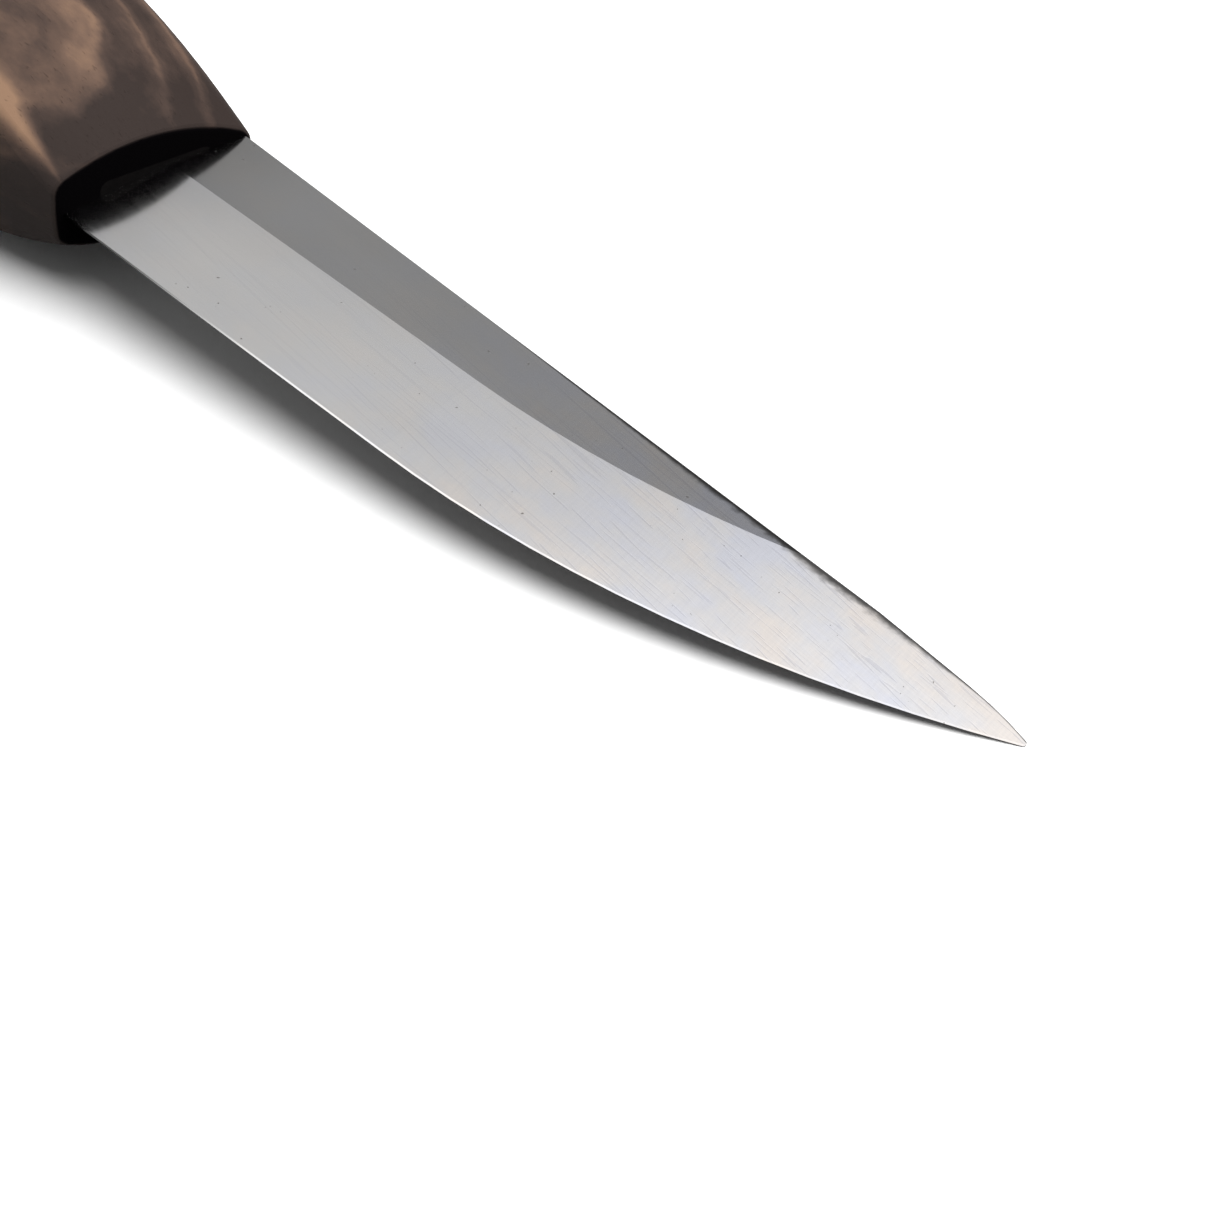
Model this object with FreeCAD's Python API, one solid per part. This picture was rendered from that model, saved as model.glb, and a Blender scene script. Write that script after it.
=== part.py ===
"""A whittling knife with a fixed blade: a carbon-steel blade on a hidden stick tang, bedded in
adhesive in a blind slot of a one-piece walnut handle.

Units are millimetres. The origin is the middle of the blade where it leaves the handle. +X runs
along the blade to the tip, +Y runs to the spine, and +Z is the upper side of the knife as it lies
on a bench. The knife is the same above and below the plane z = 0. The handle's front face leans, so
the spine leaves the handle a little nearer the tip than the cutting edge does.
"""

import FreeCAD, Part

import math
import os
from collections import namedtuple

from FreeCAD import Vector

# Blade
BLADE_LENGTH = 82.0  # handle to tip, before the point is stoned round
HEEL_WIDTH = 16.0  # spine to cutting edge, at the handle
BLADE_THICKNESS = 2.5  # stock, and so the spine
EDGE_TAPER_DEG = 2.4  # slope of the straight stretch of cutting edge
EDGE_STRAIGHT = 35.2  # straight stretch, before the belly's curve
TIP_BELOW_SPINE = 0.6  # the point lies this far under the line of the spine
SPINE_DROP_LENGTH = 6.0  # last stretch of spine, which curves down to the point
TIP_RADIUS = 0.25  # of the stoned point
BEVEL_WIDTH = 9.1  # main bevel, square to the cutting edge
HONED_WIDTH = 0.14  # honed strip along the cutting edge
HONED_DEG = 15.0  # angle from that strip to the blade's mid-plane
GRIND_INTO_HANDLE = 2.0  # the bevels run on this far past the handle's front face
SPINE_EASING = 0.3  # chamfer on both corners of the spine

# Tang
TANG_LENGTH = 92.0
TANG_SHOULDER = 3.5  # the tang is narrower than the heel by this much on each side
TANG_END_WIDTH = 5.0
TANG_GROUND_AWAY = 0.5  # the tang's end is thinner than the blade by this much

# Adhesive and slot
GLUE_GAP = 0.3  # all round the tang at the slot's mouth
GLUE_POCKET = 2.0  # slot left beyond the tang's end
SLOT_CORNER = 0.8  # radius of the slot's long corners

# Handle
HANDLE_LENGTH = 125.0
FRONT_LEAN_DEG = 4.2  # the front face leans back towards the edge side by this much
FRONT_ROUNDING = 0.5  # round the rim of the front face
BUTT_ROUNDING = 4.5  # from the sides into the butt's end face
FLAT_LEAN = 0.6  # the flats are highest this far to the edge side of their middle

# Sections of the handle. A section has a rounded spine side, a rounded edge side and two flats,
# crowned near the blade and nearly flat in the grip, joined by rounded corners. What the wood adds
# is measured from the blade's heel. The falls say how far a side drops away from its summit over
# the handle's half width or half thickness.
Section = namedtuple(
    "Section",
    (
        "back",  # distance behind x = 0, or in front of the butt; the first is ahead of the face
        "spine_side",  # wood beyond the spine
        "edge_side",  # wood beyond the cutting edge at the heel
        "flat",  # wood over each flat of the blade
        "flat_fall",
        "spine_side_fall",
        "edge_side_fall",
        "spine_corner",  # radius of the corners by the spine side
        "edge_corner",  # radius of the corners by the edge side
    ),
)
FRONT_SECTIONS = (
    Section(-1.0, 0.4, 0.3, 2.4, 2.2, 1.6, 0.6, 1.8, 1.4),
    Section(3.0, 0.9, 1.2, 4.2, 2.5, 2.4, 1.3, 2.6, 1.7),
    Section(9.0, 1.9, 2.5, 6.2, 2.8, 4.1, 3.1, 3.8, 2.1),
    Section(20.0, 3.3, 3.9, 7.9, 2.6, 5.7, 4.7, 4.9, 3.0),
    Section(38.0, 4.8, 5.4, 9.6, 1.1, 7.2, 6.0, 6.2, 4.9),
    Section(60.0, 5.3, 6.2, 10.2, 0.2, 7.6, 6.6, 6.8, 6.2),
)
BUTT_SECTIONS = (
    Section(36.0, 4.6, 5.0, 9.5, 0.2, 6.9, 6.2, 6.8, 6.4),
    Section(14.0, 4.6, 5.4, 9.2, 0.2, 6.1, 5.4, 6.4, 6.4),
    Section(0.0, 4.4, 5.4, 9.0, 0.2, 5.8, 5.0, 6.2, 6.2),
)

SPINE_Y = HEEL_WIDTH / 2
HALF_THICKNESS = BLADE_THICKNESS / 2
OVERRUN = 2.0  # how far a cutting shape runs past what it cuts
SAME = 1e-6  # two coordinates closer than this are the same


def front_x(y):
    """Where the handle's leaning front face is, at y."""
    return y * math.tan(math.radians(FRONT_LEAN_DEG))


def edges_at(shape, x):
    return [e for e in shape.Edges if all(abs(v.X - x) < SAME for v in e.Vertexes)]


def front_edges(shape):
    return [e for e in shape.Edges if all(abs(v.X - front_x(v.Y)) < SAME for v in e.Vertexes)]


def edge_geometry():
    """Start and end of the straight cutting edge, and centre and radius of the belly's arc.

    The arc is tangent to the straight stretch and passes through the point of the blade."""
    slope = math.radians(EDGE_TAPER_DEG)
    inward = Vector(-math.sin(slope), math.cos(slope), 0)
    heel_y = -HEEL_WIDTH / 2
    heel = Vector(front_x(heel_y), heel_y, 0)
    bend = heel + Vector(math.cos(slope), math.sin(slope), 0) * EDGE_STRAIGHT
    tip = Vector(BLADE_LENGTH, SPINE_Y - TIP_BELOW_SPINE, 0)
    chord = tip - bend
    radius = chord.dot(chord) / (2 * chord.dot(inward))
    return heel, bend, tip, bend + inward * radius, radius


def blade_outline():
    """The blade in plan, without its tang."""
    heel, bend, tip, centre, radius = edge_geometry()
    belly = centre + ((bend + tip) / 2 - centre).normalize() * radius
    spine_heel = Vector(front_x(SPINE_Y), SPINE_Y, 0)
    spine_bend = Vector(BLADE_LENGTH - SPINE_DROP_LENGTH, SPINE_Y, 0)
    # The drop leaves the spine without a corner, so halfway along it has dropped a quarter.
    drop = spine_bend + Vector(SPINE_DROP_LENGTH / 2, -TIP_BELOW_SPINE / 4, 0)
    return Part.Wire(
        [
            Part.LineSegment(heel, bend).toShape(),
            Part.Arc(bend, belly, tip).toShape(),
            Part.Arc(tip, drop, spine_bend).toShape(),
            Part.LineSegment(spine_bend, spine_heel).toShape(),
            Part.LineSegment(spine_heel, heel).toShape(),
        ]
    )


def grinding(side):
    """The steel ground off above (side 1) or below (side -1) the mid-plane."""
    heel, bend, tip, centre, radius = edge_geometry()
    along = (bend - heel).normalize()
    inward = (centre - bend).normalize()
    honed_height = HONED_WIDTH * math.tan(math.radians(HONED_DEG))
    corners = (  # distance in from the cutting edge, and height
        (0, 0),
        (HONED_WIDTH, honed_height),
        (BEVEL_WIDTH, HALF_THICKNESS),
        (BEVEL_WIDTH, HALF_THICKNESS + OVERRUN),
        (-OVERRUN, HALF_THICKNESS + OVERRUN),
        (-OVERRUN, 0),
        (0, 0),
    )

    def face_at(point):
        return Part.Face(
            Part.makePolygon([point + inward * d + Vector(0, 0, side * h) for d, h in corners])
        )

    start = heel - along * GRIND_INTO_HANDLE
    straight = face_at(start).extrude(bend - start)
    sweep = math.degrees((tip - centre).getAngle(bend - centre) + OVERRUN / radius)
    return straight.fuse(face_at(bend).revolve(centre, Vector(0, 0, 1), sweep))


def tang():
    """The stick tang: narrower and thinner towards its end, from the handle's front face back.

    It starts a little inside the blade. Its ends lean as the front face does."""

    def end(x, width, thickness):
        y, z = width / 2, thickness / 2
        return Part.makePolygon(
            [
                Vector(x + front_x(a * y), a * y, b * z)
                for a, b in ((-1, -1), (1, -1), (1, 1), (-1, 1), (-1, -1))
            ]
        )

    width = HEEL_WIDTH - 2 * TANG_SHOULDER
    root = end(OVERRUN, width, BLADE_THICKNESS)
    shoulder = end(0, width, BLADE_THICKNESS)
    tail = end(-TANG_LENGTH, TANG_END_WIDTH, BLADE_THICKNESS - TANG_GROUND_AWAY)
    return Part.makeLoft([root, shoulder, tail], True, True)


def make_blade():
    plate = Part.Face(blade_outline()).extrude(Vector(0, 0, BLADE_THICKNESS))
    plate.translate(Vector(0, 0, -HALF_THICKNESS))
    plate = plate.makeFillet(TIP_RADIUS, edges_at(plate, BLADE_LENGTH))
    spine = [
        e
        for e in plate.Edges
        if all(abs(v.Y - SPINE_Y) < SAME for v in e.Vertexes) and e.Length > BLADE_LENGTH / 2
    ]
    blade, stick = plate.makeChamfer(SPINE_EASING, spine), tang()
    for side in (1, -1):
        blade = blade.cut(grinding(side))
        stick = stick.cut(grinding(side))
    return blade.fuse(stick).removeSplitter()


def corner_centre(a, b, radius, outward):
    """Centre of the corner of this radius inside both sides a and b, near the way outward.

    A side is a circle, given as its centre's y and z and its radius."""
    ra, rb = a[2] - radius, b[2] - radius
    apart = math.hypot(b[0] - a[0], b[1] - a[1])
    y, z = (b[0] - a[0]) / apart, (b[1] - a[1]) / apart
    along = (apart**2 + ra**2 - rb**2) / (2 * apart)
    across = math.sqrt(ra**2 - along**2)
    crossings = [
        (a[0] + along * y - turn * across * z, a[1] + along * z + turn * across * y)
        for turn in (1, -1)
    ]
    return max(crossings, key=lambda p: p[0] * outward[0] + p[1] * outward[1])


def radius_from(reach, fall):
    """Radius of the arc that drops by fall over a distance of reach from its summit."""
    return (reach**2 + fall**2) / (2 * fall)


def handle_section(x, s):
    """The outline of one section of the handle at x."""
    top = HALF_THICKNESS + s.flat
    spine_side = HEEL_WIDTH / 2 + s.spine_side
    edge_side = HEEL_WIDTH / 2 + s.edge_side
    summit = (spine_side - edge_side) / 2 - FLAT_LEAN
    crown = radius_from((spine_side + edge_side) / 2, s.flat_fall)
    spine_round = radius_from(top, s.spine_side_fall)
    edge_round = radius_from(top, s.edge_side_fall)
    sides = (
        (spine_side - spine_round, 0.0, spine_round),
        (summit, top - crown, crown),
        (edge_round - edge_side, 0.0, edge_round),
        (summit, crown - top, crown),
    )
    corners = (
        (s.spine_corner, (1, 1)),
        (s.edge_corner, (-1, 1)),
        (s.edge_corner, (-1, -1)),
        (s.spine_corner, (1, -1)),
    )
    arcs = []
    for i, (radius, outward) in enumerate(corners):
        y, z = corner_centre(sides[i], sides[(i + 1) % 4], radius, outward)
        arcs.append((y, z, radius))

    def touching(side, corner):
        """The point where a side runs into a corner."""
        way = Vector(0, corner[0] - side[0], corner[1] - side[1]).normalize()
        return Vector(x, side[0], side[1]) + way * side[2]

    def arc(circle, start, end):
        centre = Vector(x, circle[0], circle[1])
        way = ((start + end) / 2 - centre).normalize()
        return Part.Arc(start, centre + way * circle[2], end).toShape()

    edges = []
    for i in range(4):
        here, onward = sides[i], sides[(i + 1) % 4]
        end = touching(here, arcs[i])
        edges.append(arc(here, touching(here, arcs[i - 1]), end))
        edges.append(arc(arcs[i], end, touching(onward, arcs[i])))
    return Part.Wire(edges)


def slot():
    """The blind slot for the tang."""
    width = HEEL_WIDTH - 2 * TANG_SHOULDER + 2 * GLUE_GAP
    thickness = BLADE_THICKNESS + 2 * GLUE_GAP
    depth = TANG_LENGTH + GLUE_POCKET
    length = depth + OVERRUN
    block = Part.makeBox(length, width, thickness, Vector(-depth, -width / 2, -thickness / 2))
    return block.makeFillet(SLOT_CORNER, [e for e in block.Edges if e.Length > length - SAME])


def uncut_handle():
    """The handle without its slot or the rounding of its front rim."""
    wires = [handle_section(-s.back, s) for s in FRONT_SECTIONS]
    wires += [handle_section(s.back - HANDLE_LENGTH, s) for s in BUTT_SECTIONS]
    body = Part.makeLoft(wires, True, False)
    body = body.makeFillet(BUTT_ROUNDING, edges_at(body, -HANDLE_LENGTH))
    reach = 2 * HEEL_WIDTH
    ahead = Part.makePolygon(
        [
            Vector(front_x(-reach), -reach, -reach),
            Vector(front_x(reach), reach, -reach),
            Vector(reach, reach, -reach),
            Vector(reach, -reach, -reach),
            Vector(front_x(-reach), -reach, -reach),
        ]
    )
    return body.cut(Part.Face(ahead).extrude(Vector(0, 0, 2 * reach)))


def make_handle(body):
    return body.makeFillet(FRONT_ROUNDING, front_edges(body)).cut(slot())


def make_glue(body, blade):
    return slot().common(body).cut(blade)


os.makedirs("parts", exist_ok=True)
wood = uncut_handle()
steel = make_blade()
steel.exportStep("parts/blade.step")
make_handle(wood).exportStep("parts/handle.step")
make_glue(wood, steel).exportStep("parts/tang_adhesive.step")
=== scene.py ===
"""Looks of the whittling knife: brushed steel blade, figured walnut handle, dark tang adhesive.

The materials work in millimetres of the part's own frame. Its origin is where the blade's middle
leaves the handle. x runs to the blade's point, y to the spine, and z up, as the knife lies on its
side. The light is fitted to the photo and isn't physical: see make_key, make_room and paper."""

import math

import bpy
from mathutils import Matrix, Vector

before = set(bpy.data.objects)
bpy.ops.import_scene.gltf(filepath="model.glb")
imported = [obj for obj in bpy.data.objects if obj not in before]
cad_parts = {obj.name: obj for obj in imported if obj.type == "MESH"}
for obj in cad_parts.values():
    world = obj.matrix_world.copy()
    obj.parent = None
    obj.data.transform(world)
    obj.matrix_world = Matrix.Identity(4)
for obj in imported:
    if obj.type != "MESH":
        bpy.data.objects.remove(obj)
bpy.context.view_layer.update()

MM = 0.001

# Camera, as angles about the part's own frame
CAMERA_AZIMUTH = math.radians(45.5)
CAMERA_ELEVATION = math.radians(42.21)
CAMERA_ROLL = math.radians(4.4)
CAMERA_DISTANCE = 200.6 * MM
CAMERA_TARGET = Vector((55.99, -4.77, 0.0)) * MM
CAMERA_FIELD_OF_VIEW = math.radians(22.0)
CAMERA_CLIP_START = 10 * MM

# Light
KEY_STRENGTH = 5.8
KEY_SOFTNESS = math.radians(77.6)
KEY_FROM = Vector((0.114, 0.244, 0.963))  # nearly overhead, a little behind the spine
FILL = 0.24  # even light from all round
PANEL_SIDE = Vector((0.35, -0.60, 0.72)).normalized()
PANEL_STOPS = (  # what the steel reflects: share of the way to the panel's side, radiance
    (0.00, 0.08),
    (0.40, 0.30),
    (0.44, 0.36),
    (0.478, 0.37),
    (0.54, 0.66),
    (0.565, 0.75),
    (0.59, 0.90),
    (0.61, 1.05),
    (0.625, 1.45),
    (0.65, 1.80),
    (1.00, 1.30),
)

# Floor, a sheet of white paper
FLOOR_SIZE = 3.0
FLOOR_GAP = 0.02 * MM  # between the floor and what rests on it
CONTACT_ROUNDS = 4
PAPER_GREYS = ((0.3, 0.80), (0.7, 0.82))
PAPER_MIRRORED = 0.30  # the paper's reflectance as the steel sees it
PAPER_BOUNCE = 0.14  # its reflectance for light on its way to another matt surface
PAPER_ROUGHNESS = 0.9
PAPER_GLOSS = 0.1

# Steel: its colours, painted shade among them, and how strongly each overlay covers what is under
# it
BARE_STEEL = (0.62, 0.615, 0.61)
SMUDGE_COLOURS = (
    (0.36, (0.61, 0.62, 0.68)),
    (0.50, (0.645, 0.635, 0.64)),
    (0.64, (0.70, 0.65, 0.61)),
)
CLOUD_SHADE = 0.95
GRIND_COLOUR, GRIND_COVER = (0.35, 0.35, 0.36), 0.12
SCRATCH_COLOUR, SCRATCH_COVER = (0.34, 0.34, 0.40), 0.26
HATCH_COLOUR, HATCH_COVER = (0.40, 0.40, 0.44), 0.28
SPECK_COLOUR, SPECK_COVER = (0.10, 0.09, 0.08), 0.7
# painted reflection: the colour of the dark line on the spine
SPINE_SHADE_COLOUR = (0.07, 0.068, 0.067)
# painted shade: the colour of the honed edge at the heel
HEEL_EDGE_SHADE_COLOUR = (0.06, 0.06, 0.06)
WEAR_GROWS = (15.0, 60.0)  # the blade is more worn towards its point
WEAR_AT_HEEL = 0.2
HANDLE_SHADE_FADES = (-3.0, 11.0)  # painted shade: the steel is darker beside the handle, where it mirrors the dark handle
HANDLE_SHADE_FACTOR = 0.78
HEEL_EDGE_SHADE_FADES = (26.0, 4.0)  # painted shade: the honed edge is darkened near the heel, beside the handle
HONED_FACING = (-0.18, -0.22)  # y of the normal, which tells the honed edge from the bevel
STEEL_RELIEF = 0.0015

# Painted reflection: the dark ragged line on the spine stands in for the chamfer's dark reflection.
# It follows the chamfer and then the drop to the point.
SPINE = 8.0
SPINE_LINE = 7.7
CHAMFER_END = 68.0
CHAMFER_RUN_OUT = 6.0
DROP_START = 76.0
DROP_SHAPE = 0.6 / 6.0**2  # a parabola, 0.6 mm down after 6 mm
LINE_STARTS = (26.0, 40.0)
LINE_WIDEST = 66.0
LINE_THIN = (30.0, 79.0)  # thin again this far towards the heel and the point
LINE_WIDTHS = (0.08, 0.83)

# Walnut. Its figure is a tongue of nested growth layers that points to the blade.
FRONT_SLOPE = math.tan(math.radians(4.2))  # of the handle's front face
TONGUE = (-14.0, -3.5)  # where the tongue's round end begins, and its middle line
TONGUE_REACH = (10.2, 5.9)  # from there to the first layer, along and across the handle
TONGUE_BLUNTNESS = 0.3
LAYER_SPACING = 0.6  # as a share of that reach
LAYERS_PER_DEPTH = 0.13  # reaches for each millimetre below the top
LAYER_TONES = ((0.0, 0.26), (0.14, 0.06), (0.40, 0.08), (0.66, 0.32), (0.84, 0.60), (1.0, 0.26))
LAYER_DRIFT = 0.5
LAYER_WOBBLE = 0.38
HANDLE_TOP = 11.4  # well behind the front
TOP_DROP = 7.4  # how much lower the top is at the front face
TOP_DROP_LENGTH = 18.0
STREAK_LINE = -7.9  # a pale streak along the crease on the edge side
STREAK_SPREAD = 0.14  # how fast it widens to the back
STREAK_LEAST = 0.1
WALNUT_COLOURS = (
    (0.0, (0.022, 0.0155, 0.0135)),
    (0.25, (0.045, 0.030, 0.0245)),
    (0.6, (0.105, 0.066, 0.048)),
    (1.0, (0.205, 0.125, 0.080)),
)
MOTTLE_CONTRAST = 0.55
FIBRE_CONTRAST = 0.14
# painted shade: how much darker the wood is made towards the front rim
FRONT_PAINTED_SHADE = 0.16
PORE_COLOUR, PORE_COVER = (0.012, 0.008, 0.006), 0.35
PORE_THRESHOLD, PORE_SHARPNESS = 0.66, 9.0
# painted shade: the front face's end grain is painted near black
END_GRAIN_SHADE_COLOUR = (0.0015, 0.0012, 0.0015)
END_GRAIN_SHADE_DEPTH = (0.14, 0.03)  # only the front face itself shows end grain, painted near black as shade
WOOD_GLOSS = 0.16
END_GRAIN_GLOSS = 0.01
WOOD_RELIEF = 0.02

# Resin: a dark resin, painted near black as shade where it shows at the blade's mouth
RESIN_SHADE_COLOURS = ((0.3, (0.0015, 0.0012, 0.0012)), (0.7, (0.004, 0.0034, 0.0034)))
RESIN_GLOSS = 0.05
RESIN_RELIEF = 0.05


def rgba(colour):
    """A grey level or a colour as four numbers. A socket stays a socket."""
    if isinstance(colour, float):
        colour = (colour, colour, colour)
    return (*colour, 1.0) if isinstance(colour, tuple) else colour


class Nodes:
    """Short ways to add and join shader nodes."""

    def __init__(self, tree):
        self.tree = tree
        tree.nodes.clear()

    def add(self, kind, inputs=None, **settings):
        node = self.tree.nodes.new(kind)
        for name, value in settings.items():
            setattr(node, name, value)
        for name, value in (inputs or {}).items():
            self.feed(node.inputs[name], value)
        return node

    def feed(self, socket, value):
        if isinstance(value, bpy.types.NodeSocket):
            self.tree.links.new(value, socket)
        elif isinstance(value, bpy.types.Node):
            self.tree.links.new(value.outputs[0], socket)
        else:
            socket.default_value = value

    def math(self, operation, a, b=0.0, c=0.0, clamp=False):
        node = self.add(
            "ShaderNodeMath", {0: a, 1: b, 2: c}, operation=operation, use_clamp=clamp
        )
        return node.outputs[0]

    def product(self, value, *others):
        for other in others:
            value = self.math("MULTIPLY", value, other)
        return value

    def square(self, value):
        return self.product(value, value)

    def between(self, share, low, high):
        """low where share is 0, high where it is 1."""
        return self.math("MULTIPLY_ADD", share, high - low, low)

    def varied(self, value, noise, contrast):
        """value, made larger or smaller by the noise."""
        return self.math("MULTIPLY_ADD", self.math("SUBTRACT", noise, 0.5), contrast, value)

    def span(self, value, start, end):
        """0 where value is at start, rising smoothly to 1 where it is at end."""
        node = self.add(
            "ShaderNodeMapRange",
            {"Value": value, "From Min": start, "From Max": end},
            interpolation_type="SMOOTHSTEP",
        )
        return node.outputs["Result"]

    def scaled(self, vector, share):
        """A place or a colour times a number."""
        node = self.add("ShaderNodeVectorMath", {0: vector, "Scale": share}, operation="SCALE")
        return node.outputs["Vector"]

    def stretched(self, place, stretch):
        node = self.add("ShaderNodeVectorMath", {0: place, 1: stretch}, operation="MULTIPLY")
        return node.outputs["Vector"]

    def turned(self, place, degrees):
        angle = math.radians(degrees)
        node = self.add(
            "ShaderNodeVectorRotate", {"Vector": place, "Angle": angle}, rotation_type="Z_AXIS"
        )
        return node.outputs["Vector"]

    def split(self, place):
        return self.add("ShaderNodeSeparateXYZ", {0: place}).outputs

    def millimetres(self):
        return self.scaled(self.add("ShaderNodeTexCoord").outputs["Object"], 1 / MM)

    def noise(self, place, stretch=(1.0, 1.0, 1.0), scale=1.0, detail=3.0, roughness=0.5):
        """Noise whose grains are 1 / (scale x stretch) millimetres along each axis."""
        inputs = {
            "Vector": self.stretched(place, stretch),
            "Scale": scale,
            "Detail": detail,
            "Roughness": roughness,
        }
        return self.add("ShaderNodeTexNoise", inputs).outputs["Fac"]

    def ramp(self, factor, stops, interpolation="LINEAR"):
        node = self.add("ShaderNodeValToRGB", {"Fac": factor})
        node.color_ramp.interpolation = interpolation
        elements = node.color_ramp.elements
        while len(elements) < len(stops):
            elements.new(1.0)
        for element, (place, colour) in zip(elements, stops):
            element.position = place
            element.color = rgba(colour)
        return node.outputs["Color"]

    def mix(self, share, a, b):
        """Colour a where share is 0, colour b where it is 1."""
        node = self.add("ShaderNodeMix", data_type="RGBA")
        self.feed(node.inputs["Factor"], share)
        self.feed(node.inputs["A"], rgba(a))
        self.feed(node.inputs["B"], rgba(b))
        return node.outputs["Result"]

    def finish(self, inputs, height=None, relief=0.0):
        """Adds the surface shader. relief is how deep the height map goes, in millimetres."""
        shader = self.add("ShaderNodeBsdfPrincipled", inputs)
        if height is not None:
            bump = self.add(
                "ShaderNodeBump", {"Height": height, "Strength": 1.0, "Distance": relief * MM}
            )
            self.feed(shader.inputs["Normal"], bump.outputs["Normal"])
        self.add("ShaderNodeOutputMaterial", {"Surface": shader.outputs["BSDF"]})


def material(name):
    made = bpy.data.materials.new(name)
    made.use_nodes = True
    return made, Nodes(made.node_tree)


def scratches(n, place, degrees, fineness, rarity, length=0.03):
    """Thin straight lines, turned this far from the blade's length: 1 on a line, else 0."""
    lines = n.noise(
        n.turned(place, degrees), stretch=(length, fineness, fineness), detail=0.0
    )
    return n.span(lines, rarity, rarity + 0.06)


def painted_spine_shade(n, mm):
    """1 on the painted reflection along the spine, a dark ragged line over the outer part of the
    blade.
    """
    x, y, _ = n.split(mm)
    drop = n.square(n.math("MAXIMUM", n.math("SUBTRACT", x, DROP_START), 0.0))
    run_out = n.span(x, CHAMFER_END - CHAMFER_RUN_OUT, CHAMFER_END)
    line = n.math("MULTIPLY_ADD", drop, -DROP_SHAPE, n.between(run_out, SPINE_LINE, SPINE))
    inside = n.math("SUBTRACT", line, y)
    ragged = n.noise(mm, stretch=(1.2, 2.0, 2.0))
    towards_heel, towards_point = (n.span(x, end, LINE_WIDEST) for end in LINE_THIN)
    width = n.between(n.product(ragged, towards_heel, towards_point), *LINE_WIDTHS)
    on_line = n.span(n.math("DIVIDE", inside, width), 1.7, 0.2)
    return n.product(on_line, n.span(x, *LINE_STARTS))


def shaded_heel_edge(n, x):
    """1 on the honed edge at the heel, where it is painted in shade."""
    facing = n.split(n.add("ShaderNodeTexCoord").outputs["Normal"])[1]
    return n.product(n.span(facing, *HONED_FACING), n.span(x, *HEEL_EDGE_SHADE_FADES))


def steel():
    made, n = material("carbon_steel")
    mm = n.millimetres()
    x = n.split(mm)[0]
    outer_half = n.span(x, *WEAR_GROWS)
    wear = n.between(outer_half, WEAR_AT_HEEL, 1.0)
    grind = n.noise(n.turned(mm, 2.0), stretch=(0.015, 7.0, 7.0), detail=1.0)
    clouds = n.noise(mm, stretch=(0.05, 0.16, 0.16))
    smudges = n.noise(mm, stretch=(0.10, 0.16, 0.16), scale=1.3, detail=4.0, roughness=0.6)
    along = scratches(n, mm, degrees=1.0, fineness=6.5, rarity=0.66)
    fanned = scratches(n, mm, degrees=5.0, fineness=5.5, rarity=0.69, length=0.035)
    lines = n.product(n.math("MAXIMUM", n.product(along, 0.7), fanned), wear)
    hatch = n.noise(n.turned(mm, 78.0), stretch=(0.12, 5.5, 5.5), detail=1.0)
    specks = n.span(n.noise(mm, scale=2.2, detail=1.0), 0.77, 0.81)

    # painted shade: the steel is darkened beside the handle, where it mirrors the dark handle
    painted_handle_shade = n.between(n.span(x, *HANDLE_SHADE_FADES), HANDLE_SHADE_FACTOR, 1.0)
    cloudy = n.between(n.span(clouds, 0.3, 0.7), CLOUD_SHADE, 1.0)
    colour = n.mix(wear, BARE_STEEL, n.ramp(smudges, SMUDGE_COLOURS))
    colour = n.scaled(colour, n.product(painted_handle_shade, cloudy))
    # real scratches and specks, and painted shade on the spine and at the heel
    marks_and_painted_shade = (
        (n.product(grind, GRIND_COVER), GRIND_COLOUR),
        (n.product(lines, SCRATCH_COVER), SCRATCH_COLOUR),
        (n.product(hatch, outer_half, HATCH_COVER), HATCH_COLOUR),
        (n.product(specks, SPECK_COVER), SPECK_COLOUR),
        # painted reflection: the chamfer's dark line on the spine
        (painted_spine_shade(n, mm), SPINE_SHADE_COLOUR),
        # painted shade on the honed edge at the heel
        (shaded_heel_edge(n, x), HEEL_EDGE_SHADE_COLOUR),
    )
    for share, overlay_colour in marks_and_painted_shade:
        colour = n.mix(share, colour, overlay_colour)
    rough = n.math("MULTIPLY_ADD", specks, 0.2, n.between(grind, 0.12, 0.20))
    height = n.math("MULTIPLY_ADD", lines, -0.5, n.product(grind, 0.5))
    n.finish({"Base Color": colour, "Metallic": 1.0, "Roughness": rough}, height, STEEL_RELIEF)
    return made


def growth_layer(n, mm):
    """How far out from the tongue's middle a point lies, in reaches, deeper counting as further."""
    x, y, z = n.split(mm)
    along = n.math("MAXIMUM", n.math("SUBTRACT", x, TONGUE[0]), 0.0)
    along = n.math("DIVIDE", along, TONGUE_REACH[0])
    across = n.math("DIVIDE", n.math("SUBTRACT", y, TONGUE[1]), TONGUE_REACH[1])
    reach = n.math("ADD", n.square(along), n.math("ADD", n.square(across), TONGUE_BLUNTNESS))
    reach = n.math("SUBTRACT", n.math("SQRT", reach), math.sqrt(1 + TONGUE_BLUNTNESS) - 1)
    drop = n.math("EXPONENT", n.math("DIVIDE", x, TOP_DROP_LENGTH))
    top = n.between(drop, HANDLE_TOP, HANDLE_TOP - TOP_DROP)
    depth = n.math("MAXIMUM", n.math("SUBTRACT", top, z), 0.0)
    layer = n.math("MULTIPLY_ADD", depth, LAYERS_PER_DEPTH, reach)
    drift = n.noise(mm, stretch=(0.06, 0.10, 0.10), detail=2.0)
    wobble = n.noise(mm, stretch=(0.22, 0.34, 0.34))
    return n.varied(n.varied(layer, drift, LAYER_DRIFT), wobble, LAYER_WOBBLE)


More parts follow.
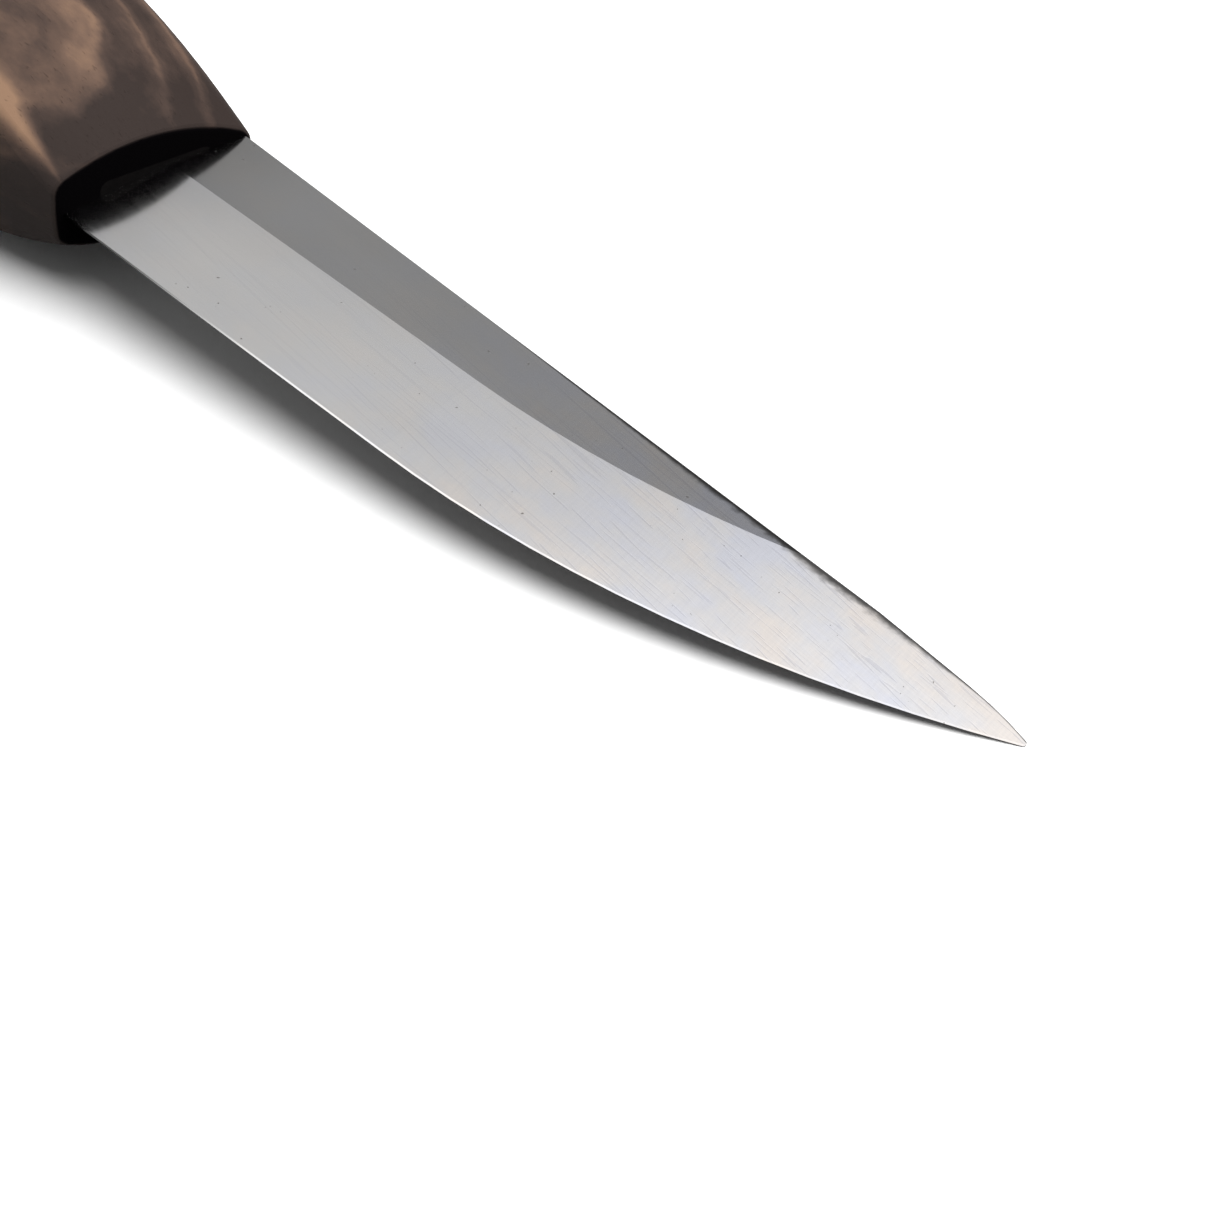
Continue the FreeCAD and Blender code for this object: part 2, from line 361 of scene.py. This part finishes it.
def wood_figure(n, mm, behind):
    """How light the growth layers make the wood: calmer far out, and darker near the front, which
    is painted shade.
    """
    layer = growth_layer(n, mm)
    phase = n.math("FRACT", n.math("DIVIDE", n.math("SUBTRACT", layer, 1.0), LAYER_SPACING))
    bands = n.ramp(phase, LAYER_TONES, "EASE")
    calm = n.between(n.span(layer, 2.0, 3.4), 0.85, 0.50)
    uneven = n.noise(mm, stretch=(0.03, 0.12, 0.12), detail=2.0)
    bands = n.product(bands, calm, n.span(uneven, 0.15, 0.6))
    heart = n.product(n.span(layer, 1.04, 0.78), n.span(layer, 0.1, 0.75))
    bands = n.math("ADD", bands, n.between(heart, 0.07, 0.37))
    # painted shade: the figure is dimmed towards the front face
    return n.product(bands, n.between(n.span(behind, 0.0, 9.0), 0.45, 1.0))


def crease_streak(n, mm, behind):
    """The pale streak, which is only on the upper side and fades out both ways."""
    _, y, z = n.split(mm)
    width = n.math("MULTIPLY_ADD", behind, STREAK_SPREAD, STREAK_LEAST)
    width = n.math("MAXIMUM", width, STREAK_LEAST)
    across = n.math("DIVIDE", n.math("SUBTRACT", y, STREAK_LINE), width)
    streak = n.math("EXPONENT", n.product(n.square(across), -1.0))
    ends = n.product(n.span(behind, 12.0, 7.0), n.span(behind, -1.5, 5.0))
    return n.product(streak, n.span(z, 0.5, 2.0), ends)


def walnut():
    made, n = material("figured_walnut")
    mm = n.millimetres()
    x, y, _ = n.split(mm)
    behind = n.math("SUBTRACT", n.product(y, FRONT_SLOPE), x)  # distance behind the front face
    mottle = n.noise(mm, stretch=(0.25, 0.45, 0.45), detail=4.0, roughness=0.6)
    fibre = n.noise(mm, stretch=(0.12, 3.5, 3.5), detail=4.0, roughness=0.6)
    pores = n.noise(mm, stretch=(0.35, 5.0, 5.0), detail=1.0)
    pores = n.math("SUBTRACT", pores, PORE_THRESHOLD, clamp=True)
    pores = n.math("MULTIPLY", pores, PORE_SHARPNESS, clamp=True)
    end_grain_and_shade = n.span(behind, *END_GRAIN_SHADE_DEPTH)

    light = n.varied(wood_figure(n, mm, behind), mottle, MOTTLE_CONTRAST)
    light = n.varied(light, fibre, FIBRE_CONTRAST)
    # painted shade: the wood is darkened towards the front rim
    light = n.math("MULTIPLY_ADD", n.span(behind, 8.0, 1.0), -FRONT_PAINTED_SHADE, light)
    light = n.math("ADD", light, crease_streak(n, mm, behind), clamp=True)
    colour = n.ramp(light, WALNUT_COLOURS)
    colour = n.mix(n.product(pores, PORE_COVER), colour, PORE_COLOUR)
    # painted shade: the end grain of the front face is painted near black
    colour = n.mix(end_grain_and_shade, colour, END_GRAIN_SHADE_COLOUR)
    inputs = {
        "Base Color": colour,
        "Roughness": n.between(fibre, 0.50, 0.65),
        "Specular IOR Level": n.between(end_grain_and_shade, WOOD_GLOSS, END_GRAIN_GLOSS),
    }
    height = n.math("MULTIPLY_ADD", pores, -0.8, n.product(fibre, 0.35))
    n.finish(inputs, height, WOOD_RELIEF)
    return made


def resin():
    made, n = material("dark_resin_with_painted_shade")
    lumps = n.noise(n.millimetres(), scale=1.5, detail=4.0)
    inputs = {
        # painted shade: the dark resin is made near black
        "Base Color": n.ramp(lumps, RESIN_SHADE_COLOURS),
        "Roughness": n.between(lumps, 0.5, 0.8),
        "Specular IOR Level": RESIN_GLOSS,
    }
    n.finish(inputs, lumps, RESIN_RELIEF)
    return made


def paper():
    """White to the camera, and dimmer in the steel and for light that it sends to the knife."""
    made, n = material("white_paper")
    grain = n.noise(n.millimetres(), scale=0.4, detail=4.0)
    rays = n.add("ShaderNodeLightPath").outputs
    bounced = n.math("MINIMUM", rays["Diffuse Depth"], 1.0)
    unseen = n.mix(bounced, (PAPER_MIRRORED,) * 3, (PAPER_BOUNCE,) * 3)
    colour = n.mix(rays["Is Camera Ray"], unseen, n.ramp(grain, PAPER_GREYS))
    n.finish(
        {"Base Color": colour, "Roughness": PAPER_ROUGHNESS, "Specular IOR Level": PAPER_GLOSS}
    )
    return made


def give(node, made):
    """Puts the material on every slot of a CAD node."""
    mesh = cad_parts[node].data
    for i in range(len(mesh.materials)):
        mesh.materials[i] = made


def slope_between(behind, ahead):
    return math.atan2(ahead.z - behind.z, ahead.x - behind.x)


def resting_slope():
    """A place where the blade touches the floor, and how far the knife leans on it.

    The floor is the line that just touches the handle's swell and the blade from below."""
    wood = [v.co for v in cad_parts["handle"].data.vertices]
    blade = [v.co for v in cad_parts["blade"].data.vertices if v.co.x > 0.0]
    point = max(blade, key=lambda c: c.x)
    for _ in range(CONTACT_ROUNDS):
        swell = max(wood, key=lambda c: slope_between(c, point))
        point = min(blade, key=lambda c: slope_between(swell, c))
    return point, slope_between(swell, point)


def paper_floor():
    """The knife keeps the CAD frame, so it is the floor that leans."""
    point, slope = resting_slope()
    bpy.ops.mesh.primitive_plane_add(size=FLOOR_SIZE)
    floor = bpy.context.object
    floor.name = "floor"
    floor.rotation_euler = (0.0, -slope, 0.0)
    up = Vector((-math.sin(slope), 0.0, math.cos(slope)))
    floor.location = Vector((point.x, 0.0, point.z)) - up * FLOOR_GAP
    floor.data.materials.append(paper())


def aim(thing, away, roll=0.0):
    """Turns a camera or light to look against the direction away."""
    thing.rotation_mode = "QUATERNION"
    turn = away.to_track_quat("Z", "Y")
    thing.rotation_quaternion = turn @ Matrix.Rotation(roll, 4, "Z").to_quaternion()


def make_camera():
    flat = math.cos(CAMERA_ELEVATION)
    away = Vector(
        (
            math.sin(CAMERA_AZIMUTH) * flat,
            -math.cos(CAMERA_AZIMUTH) * flat,
            math.sin(CAMERA_ELEVATION),
        )
    )
    data = bpy.data.cameras.new("camera")
    data.angle = CAMERA_FIELD_OF_VIEW
    data.clip_start = CAMERA_CLIP_START
    camera = bpy.data.objects.new("camera", data)
    bpy.context.scene.collection.objects.link(camera)
    camera.location = CAMERA_TARGET + away * CAMERA_DISTANCE
    aim(camera, away, CAMERA_ROLL)
    bpy.context.scene.camera = camera


def make_key():
    """Soft light from overhead. The steel mirrors the room's panel and not this light."""
    data = bpy.data.lights.new("key", "SUN")
    data.energy = KEY_STRENGTH
    data.angle = KEY_SOFTNESS
    key = bpy.data.objects.new("key", data)
    bpy.context.scene.collection.objects.link(key)
    key.visible_glossy = False
    aim(key, KEY_FROM.normalized())


def make_room():
    """White behind the knife, even light on the wood and paper, and a large panel in the steel."""
    world = bpy.data.worlds.new("room")
    world.use_nodes = True
    world.cycles.sampling_method = "NONE"
    bpy.context.scene.world = world
    n = Nodes(world.node_tree)
    way = n.add("ShaderNodeTexCoord").outputs["Generated"]
    towards = n.add(
        "ShaderNodeVectorMath", {0: way, 1: tuple(PANEL_SIDE)}, operation="DOT_PRODUCT"
    )
    share = n.between(towards.outputs["Value"], 0.5, 1.0)
    top = max(radiance for _, radiance in PANEL_STOPS)
    shade = n.ramp(share, [(place, radiance / top) for place, radiance in PANEL_STOPS])
    panel = n.add("ShaderNodeBackground", {"Color": shade, "Strength": top})
    fill = n.add("ShaderNodeBackground", {"Color": rgba(1.0), "Strength": FILL})
    white = n.add("ShaderNodeBackground", {"Color": rgba(1.0), "Strength": 1.0})
    rays = n.add("ShaderNodeLightPath").outputs
    lit = n.add("ShaderNodeMixShader", {0: rays["Is Glossy Ray"], 1: fill, 2: panel})
    seen = n.add("ShaderNodeMixShader", {0: rays["Is Camera Ray"], 1: lit, 2: white})
    n.add("ShaderNodeOutputWorld", {"Surface": seen})


give("blade", steel())
give("handle", walnut())
give("tang_adhesive", resin())
paper_floor()
make_camera()
make_key()
make_room()
bpy.context.scene.view_settings.view_transform = "Standard"
